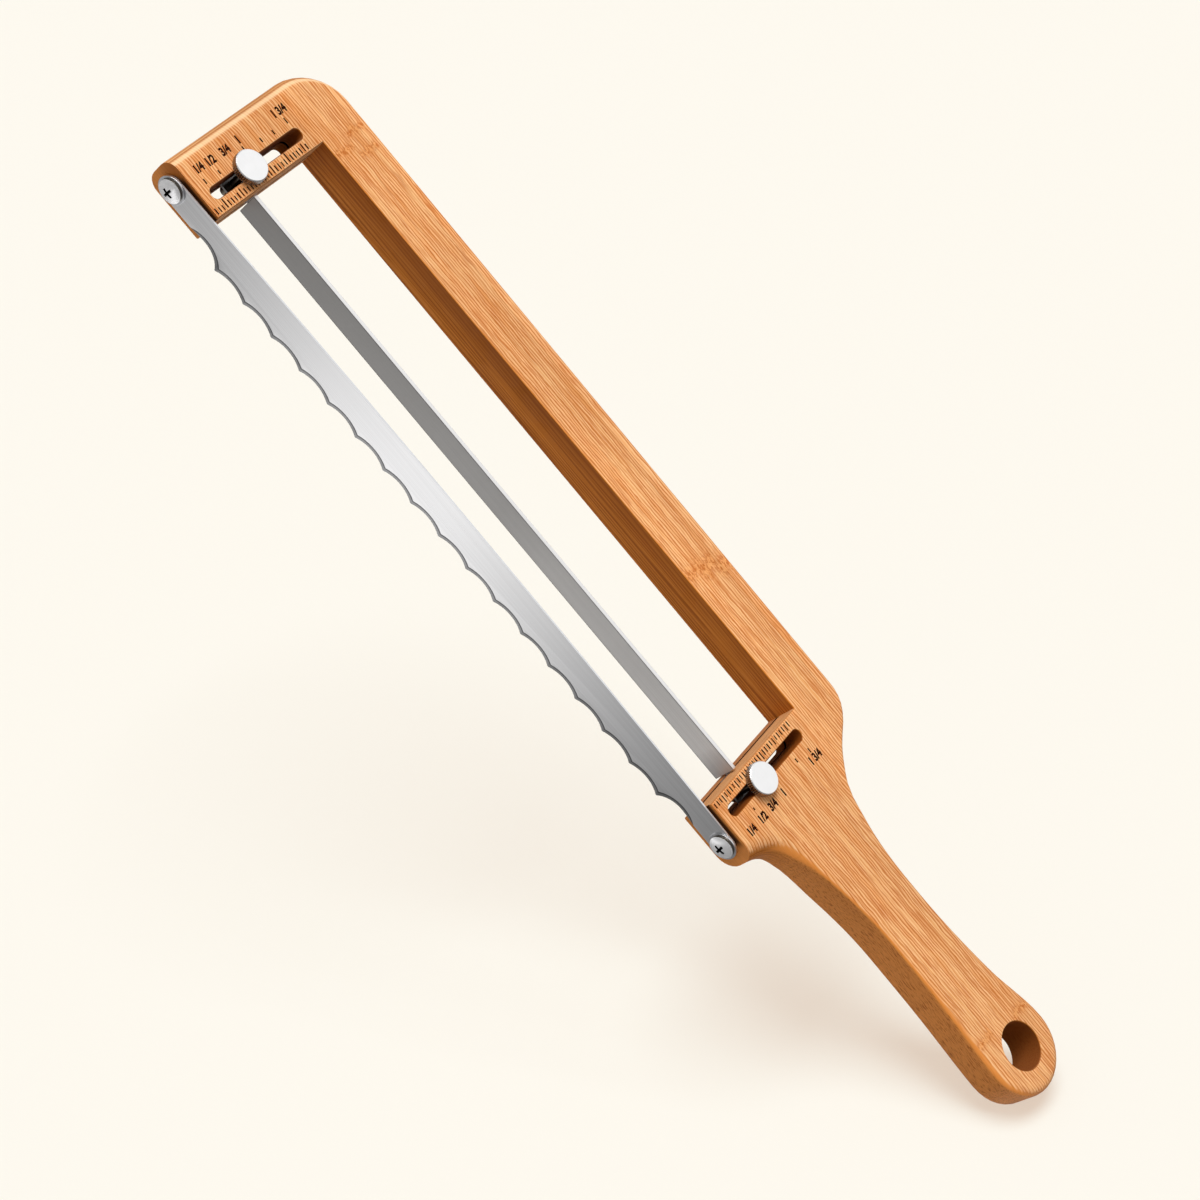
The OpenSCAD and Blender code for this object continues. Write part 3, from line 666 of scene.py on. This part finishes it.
thumbScrew = {
    "radius": 6.0, "height": 3.0, "edge": 0.4, "ribs": 48, "ribDepth": 0.3, "pointsPerRib": 6,
    "studRadius": 1.5, "studSides": 48, "softEdge": 0.08,
    # shares of the head's half height: where the ribs fade out, the edge rounds over and the knurls end
    "ribFade": (0.85, 0.7), "roundOver": (0.72, 1.02), "knurlEnd": 0.78
}
knurlTree, given, wanted = newGroup("knurledHead", [
    ("Radius", "INPUT", "Float", 0.006), ("Height", "INPUT", "Float", 0.003),
    ("Edge", "INPUT", "Float", 0.0004), ("Ribs", "INPUT", "Int", 48), ("Rib Depth", "INPUT", "Float", 0.0003),
    ("Stud Radius", "INPUT", "Float", 0.0015), ("Stud Length", "INPUT", "Float", 0.014),
    ("Geometry", "OUTPUT", "Geometry", None)
], "GeometryNodeTree")
head = addNode(knurlTree, "GeometryNodeMeshCylinder", {
    "Vertices": product(knurlTree, given["Ribs"], float(thumbScrew["pointsPerRib"])), "Side Segments": 10,
    "Radius": given["Radius"], "Depth": given["Height"]
}).outputs["Mesh"]
spot = addNode(knurlTree, "GeometryNodeInputPosition").outputs[0]
part = split(knurlTree, spot)
halfHeight = product(knurlTree, given["Height"], 0.5)
upShare = calc(knurlTree, "DIVIDE", calc(knurlTree, "ABSOLUTE", part[2]), halfHeight)
angle = calc(knurlTree, "ARCTAN2", part[1], part[0])
ribWave = calc(knurlTree, "COSINE", product(knurlTree, angle, given["Ribs"]))
groove = calc(knurlTree, "MULTIPLY_ADD", ribWave, -0.5, 0.5)
groove = product(knurlTree, groove, between(knurlTree, upShare, *thumbScrew["ribFade"]), given["Rib Depth"])
rounded = product(knurlTree, between(knurlTree, upShare, *thumbScrew["roundOver"]), given["Edge"])
shrink = calc(knurlTree, "DIVIDE", calc(knurlTree, "ADD", groove, rounded), given["Radius"])
factor = calc(knurlTree, "SUBTRACT", 1.0, shrink)
moved = vectorCalc(knurlTree, "MULTIPLY", spot, joined(knurlTree, factor, factor, 1.0))
head = addNode(knurlTree, "GeometryNodeSetPosition", {"Geometry": head, "Position": moved}).outputs[0]
stud = addNode(knurlTree, "GeometryNodeMeshCylinder", {
    "Vertices": thumbScrew["studSides"], "Radius": given["Stud Radius"], "Depth": given["Stud Length"]
}).outputs["Mesh"]
reach = calc(knurlTree, "ADD", given["Stud Length"], given["Height"])
drop = product(knurlTree, reach, -0.4999)  # the stud starts just inside the head
stud = addNode(knurlTree, "GeometryNodeTransform", {
    "Geometry": stud, "Translation": joined(knurlTree, z=drop)
}).outputs[0]
both = addNode(knurlTree, "GeometryNodeJoinGeometry")
knurlTree.links.new(head, both.inputs[0])
knurlTree.links.new(stud, both.inputs[0])
finished = addNode(knurlTree, "GeometryNodeRealizeInstances", {0: both.outputs[0]}).outputs[0]
# the knurled side takes a darker copy of the nickel, as painted shade on the ribs
onKnurls = calc(knurlTree, "LESS_THAN", upShare, thumbScrew["knurlEnd"])
onStud = calc(knurlTree, "GREATER_THAN", upShare, 1.001)  # past the head's end
for finish, where in (("knobNickel", True), ("shadedKnurlNickel", onKnurls), ("nutSteel", onStud)):
    finished = addNode(knurlTree, "GeometryNodeSetMaterial", {
        "Geometry": finished, "Selection": where, "Material": finishes[finish]
    }).outputs[0]
knurlTree.links.new(finished, wanted["Geometry"])

for name in ("tip_thumb_screw", "heel_thumb_screw"):
    low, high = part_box(name)
    middle = (low + high) / 2
    headHeight = thumbScrew["height"] * mm
    values = {
        "Radius": thumbScrew["radius"] * mm, "Height": headHeight, "Edge": thumbScrew["edge"] * mm,
        "Ribs": thumbScrew["ribs"], "Rib Depth": thumbScrew["ribDepth"] * mm,
        "Stud Radius": thumbScrew["studRadius"] * mm, "Stud Length": high.z - low.z - headHeight
    }
    lift = Matrix.Translation((middle.x, middle.y, high.z - headHeight / 2))
    dress(name, grown(name, knurlTree, values, lift), thumbScrew["softEdge"], sharp=50.0, crease=18.0)

rulerMarks = {
    "lift": 0.02, "width": 0.56, "uneven": (0.86, 1.1), "size": 4.1, "weight": 0.19, "depth": 0.01,
    "narrow": 0.82, "mergeDistance": 0.0005,
    # rows of marks: x, y, way along x, count, pitch, length, long length, every
    "rows": [
        (-0.9, -55.0, -1, 30, 1.65, 2.1, 3.3, 5), (246.8, -55.0, 1, 30, 1.65, 2.1, 3.0, 5),
        (-10.9, -50.6, -1, 1, 1, 2.0, 2.0, 1), (-10.9, -43.5, -1, 1, 1, 1.6, 1.6, 1),
        (-12.8, -29.1, -1, 1, 1, 1.3, 1.3, 1), (-11.4, -20.8, -1, 1, 1, 1.6, 1.6, 1),
        (-11.1, -14.5, -1, 1, 1, 1.8, 1.8, 1), (-11.6, -7.0, -1, 1, 1, 2.4, 2.4, 1),
        (257.6, -43.0, 1, 1, 1, 1.0, 1.0, 1), (257.6, -14.7, 1, 1, 1, 1.6, 1.6, 1),
        (258.6, -7.2, 1, 1, 1, 2.0, 2.0, 1)
    ],
    # plain numbers: text, x, y of their middle
    "numbers": [
        ("1/4", -16.4, -49.0), ("1/2", -16.2, -43.3), ("3/4", -16.2, -35.7), ("1", -16.6, -28.6),
        ("1 3/4", -16.6, -6.7), ("1/4", 262.4, -49.6), ("1/2", 262.4, -42.4), ("3/4", 262.2, -35.5),
        ("1", 262.2, -28.3), ("1 3/4", 262.6, -7.1)
    ],
}
tickTree, given, wanted = newGroup("rulerRow", [
    ("Count", "INPUT", "Int", 30), ("Pitch", "INPUT", "Float", 0.00165), ("Every", "INPUT", "Int", 5),
    ("Length", "INPUT", "Float", 0.0015), ("Long Length", "INPUT", "Float", 0.0027),
    ("Width", "INPUT", "Float", 0.0003), ("Height", "INPUT", "Float", 0.00002), ("Seed", "INPUT", "Int", 3),
    ("Geometry", "OUTPUT", "Geometry", None)
], "GeometryNodeTree")
step = joined(tickTree, y=given["Pitch"])
row = addNode(tickTree, "GeometryNodeMeshLine", {"Count": given["Count"], "Offset": step}).outputs[0]
markSize = joined(tickTree, given["Length"], given["Width"], given["Height"])
mark = addNode(tickTree, "GeometryNodeMeshCube", {"Size": markSize}).outputs["Mesh"]
outward = joined(tickTree, product(tickTree, given["Length"], 0.5))
mark = addNode(tickTree, "GeometryNodeTransform", {"Geometry": mark, "Translation": outward}).outputs[0]
index = addNode(tickTree, "GeometryNodeInputIndex").outputs[0]
remainder = calc(tickTree, "MODULO", calc(tickTree, "ADD", index, 2.0), given["Every"])
isLong = calc(tickTree, "LESS_THAN", remainder, 0.5)  # the fourth mark is a long one, then every fifth
longShare = calc(tickTree, "DIVIDE", given["Long Length"], given["Length"])
least, most = rulerMarks["uneven"]
uneven = addNode(tickTree, "FunctionNodeRandomValue", {
    "Min": least, "Max": most, "Seed": given["Seed"]
}, data_type="FLOAT").outputs[1]
stretch = product(tickTree, mixValue(tickTree, isLong, 1.0, longShare), uneven)
placed = addNode(tickTree, "GeometryNodeInstanceOnPoints", {
    "Points": row, "Instance": mark, "Scale": joined(tickTree, stretch, uneven, 1.0)
}).outputs[0]
single = addNode(tickTree, "GeometryNodeRealizeInstances", {0: placed}).outputs[0]
finished = addNode(tickTree, "GeometryNodeSetMaterial", {"Geometry": single, "Material": burntMark})
tickTree.links.new(finished.outputs[0], wanted["Geometry"])


def numberMesh(words):
    curve = bpy.data.curves.new("number", "FONT")
    curve.body = words
    curve.size = rulerMarks["size"] * mm
    curve.align_x = "CENTER"
    curve.align_y = "CENTER"
    curve.offset = rulerMarks["weight"] * mm
    curve.extrude = rulerMarks["depth"] * mm
    maker = bpy.data.objects.new("numberMaker", curve)
    scene.collection.objects.link(maker)
    data = bpy.data.meshes.new_from_object(maker.evaluated_get(bpy.context.evaluated_depsgraph_get()))
    bpy.data.objects.remove(maker)
    return data


marks = bmesh.new()
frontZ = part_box("bow_frame")[1].z + rulerMarks["lift"] * mm / 2
for x, y, way, count, pitch, length, longLength, every in rulerMarks["rows"]:
    spot = fromPlan(x, y, 0)
    values = {
        "Count": count, "Pitch": pitch * mm, "Length": length * mm, "Long Length": longLength * mm,
        "Every": every, "Width": rulerMarks["width"] * mm, "Height": rulerMarks["lift"] * mm,
        "Seed": int(abs(x * 10)) + count
    }
    spotted = Matrix.Translation((spot.x, spot.y, frontZ)) @ Matrix.Diagonal((way, 1, 1, 1))
    marks.from_mesh(grown("rulerRow", tickTree, values, spotted))
turnUp = Matrix.Rotation(math.radians(90), 4, "Z") @ Matrix.Diagonal((rulerMarks["narrow"], 1.0, 1.0, 1.0))
for words, x, y in rulerMarks["numbers"]:
    spot = fromPlan(x, y, 0)
    flatText = numberMesh(words)
    flatText.transform(Matrix.Translation((spot.x, spot.y, frontZ)) @ turnUp)
    marks.from_mesh(flatText)
bmesh.ops.remove_doubles(marks, verts=marks.verts, dist=rulerMarks["mergeDistance"] * mm)
bmesh.ops.recalc_face_normals(marks, faces=marks.faces)
for face in marks.faces:
    face.material_index = 0
markData = bpy.data.meshes.new("rulerMarks")
markData.materials.append(burntMark)
marks.to_mesh(markData)
marks.free()
markPiece = bpy.data.objects.new("rulerMarks", markData)
scene.collection.objects.link(markPiece)
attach(markPiece, "bow")
print("thumb screws and ruler marks made")

# Floor: the knife leans on the end of its handle, so the floor is tilted under it

floor = {
    "normal": (-0.6795, 0.0463, 0.7322), "planOffset": -272.85, "half": 4000.0,
    # the camera sees cream behind, and glow on lit paper below; bounce is what the floor throws back
    "cream": rgb(255, 252, 243), "glow": (0.66, 0.53, 0.43, 1.0), "lit": (0.27, 0.35, 0.371, 1.0),
    "bounce": (0.5, 0.5, 0.5, 1.0),
    # what the steel sees of it, by the frame's x: a bright hill, with dimmer ends at the tip and the heel
    "sheen": (1.0, 0.992, 0.985, 1.0), "shine": 1.28, "shineMiddle": -79.0, "shineWidth": 100.0,
    "tipX": -250.0, "heelX": 100.0, "tipDim": 0.4, "heelDim": 0.22
}
up = Vector(floor["normal"]).normalized()
side = up.cross(Vector((0, 1, 0))).normalized()
front = up.cross(side)
middle = up * (floor["planOffset"] - up.dot(planOrigin)) * mm
half = floor["half"] * mm
corners = [middle + side * a * half + front * b * half for a, b in ((-1, -1), (1, -1), (1, 1), (-1, 1))]
data = bpy.data.meshes.new("floor")
data.from_pydata(corners, [], [(0, 1, 2, 3)])
if data.polygons[0].normal.dot(up) < 0:
    data.flip_normals()
floorSheet = bpy.data.objects.new("floor", data)
scene.collection.objects.link(floorSheet)


def emitted(tree, colour, strength):
    return addNode(tree, "ShaderNodeEmission", {0: colour, 1: strength}).outputs[0]


def blended(tree, factor, a, b):
    return addNode(tree, "ShaderNodeMixShader", {0: factor, 1: a, 2: b}).outputs[0]


floorMaterial = bpy.data.materials.new("floorPaper")
floorMaterial.use_nodes = True
tree = floorMaterial.node_tree
tree.nodes.clear()
path = addNode(tree, "ShaderNodeLightPath").outputs
paper = addNode(tree, "ShaderNodeBsdfDiffuse", {0: floor["lit"]}).outputs[0]
seen = addNode(tree, "ShaderNodeAddShader", {0: emitted(tree, floor["glow"], 1.0), 1: paper}).outputs[0]
bounce = addNode(tree, "ShaderNodeBsdfDiffuse", {0: floor["bounce"]}).outputs[0]
floorX = calc(tree, "DIVIDE", split(tree, objectPlace(tree))[0], mm)
offCentre = calc(tree, "SUBTRACT", floorX, floor["shineMiddle"])
hill = bell(tree, calc(tree, "DIVIDE", offCentre, floor["shineWidth"]))
dim = ranged(tree, floorX, floor["tipX"], floor["heelX"], floor["tipDim"], floor["heelDim"])
sheen = emitted(tree, floor["sheen"], mixValue(tree, hill, dim, floor["shine"]))
other = blended(tree, path["Is Glossy Ray"], bounce, sheen)
lit = blended(tree, path["Is Camera Ray"], other, seen)
clear = tree.nodes.new("ShaderNodeBsdfTransparent").outputs[0]
under = addNode(tree, "ShaderNodeNewGeometry").outputs["Backfacing"]
addNode(tree, "ShaderNodeOutputMaterial", {0: blended(tree, under, lit, clear)})
floorSheet.data.materials.append(floorMaterial)

# World and lamp

studio = {
    # the fill leans to the blade's side
    "fill": 0.36, "lean": 0.5, "fillTone": (1.0, 0.985, 0.96, 1.0),
    # what the steel sees: bright behind the spine and above, dim elsewhere
    "glow": 1.1, "glowLow": 0.25, "glowTone": (1.0, 0.995, 0.985, 1.0), "behind": (0.66, 0.75),
    "behindStep": (0.1, 0.75),
    "key": 2.75, "keyAngle": 36.0, "keyTurn": -0.08, "keyTone": (1.0, 0.985, 0.96)
}


def background(tree, colour, strength):
    return addNode(tree, "ShaderNodeBackground", {0: colour, 1: strength}).outputs[0]


world = bpy.data.worlds.new("studio")
scene.world = world
world.use_nodes = True
tree = world.node_tree
tree.nodes.clear()
path = addNode(tree, "ShaderNodeLightPath").outputs
axes = split(tree, addNode(tree, "ShaderNodeTexCoord").outputs["Generated"])
shareY, shareZ = studio["behind"]
behind = calc(tree, "ADD", product(tree, axes[1], shareY), product(tree, axes[2], shareZ))
behind = between(tree, behind, *studio["behindStep"])
lean = calc(tree, "MULTIPLY_ADD", axes[1], -studio["lean"] * studio["fill"], studio["fill"])
fill = background(tree, studio["fillTone"], lean)
glow = background(tree, studio["glowTone"], mixValue(tree, behind, studio["glowLow"], studio["glow"]))
paleBack = background(tree, floor["cream"], 1.0)
shiny = blended(tree, path["Is Glossy Ray"], fill, glow)
addNode(tree, "ShaderNodeOutputWorld", {0: blended(tree, path["Is Camera Ray"], shiny, paleBack)})

keyData = bpy.data.lights.new("keyLight", "SUN")
keyData.energy = studio["key"]
keyData.angle = math.radians(studio["keyAngle"])
keyData.color = studio["keyTone"]
keyLight = bpy.data.objects.new("keyLight", keyData)
keyLight.rotation_euler = (up + Vector((0, studio["keyTurn"], 0))).to_track_quat("Z", "Y").to_euler()
scene.collection.objects.link(keyLight)

# Camera, fitted to the photograph

view = {
    "eye": (70.349, -669.753, 733.331), "right": (0.63796, 0.53006, 0.55860),
    "upward": (-0.76269, 0.53510, 0.36328), "lens": 88.167, "sensor": 36.0, "clip": 10.0
}
eye = fromPlan(*view["eye"])
right = Vector(view["right"])
backward = right.cross(Vector(view["upward"])).normalized()
upward = backward.cross(right).normalized()
camera = bpy.data.objects.new("camera", bpy.data.cameras.new("camera"))
camera.matrix_world = Matrix((
    (right.x, upward.x, backward.x, eye.x), (right.y, upward.y, backward.y, eye.y),
    (right.z, upward.z, backward.z, eye.z), (0, 0, 0, 1)
))
camera.data.sensor_width = view["sensor"]
camera.data.sensor_fit = "HORIZONTAL"
camera.data.lens = view["lens"]
camera.data.clip_start = view["clip"] * mm
scene.collection.objects.link(camera)
scene.camera = camera

print("scene ready")
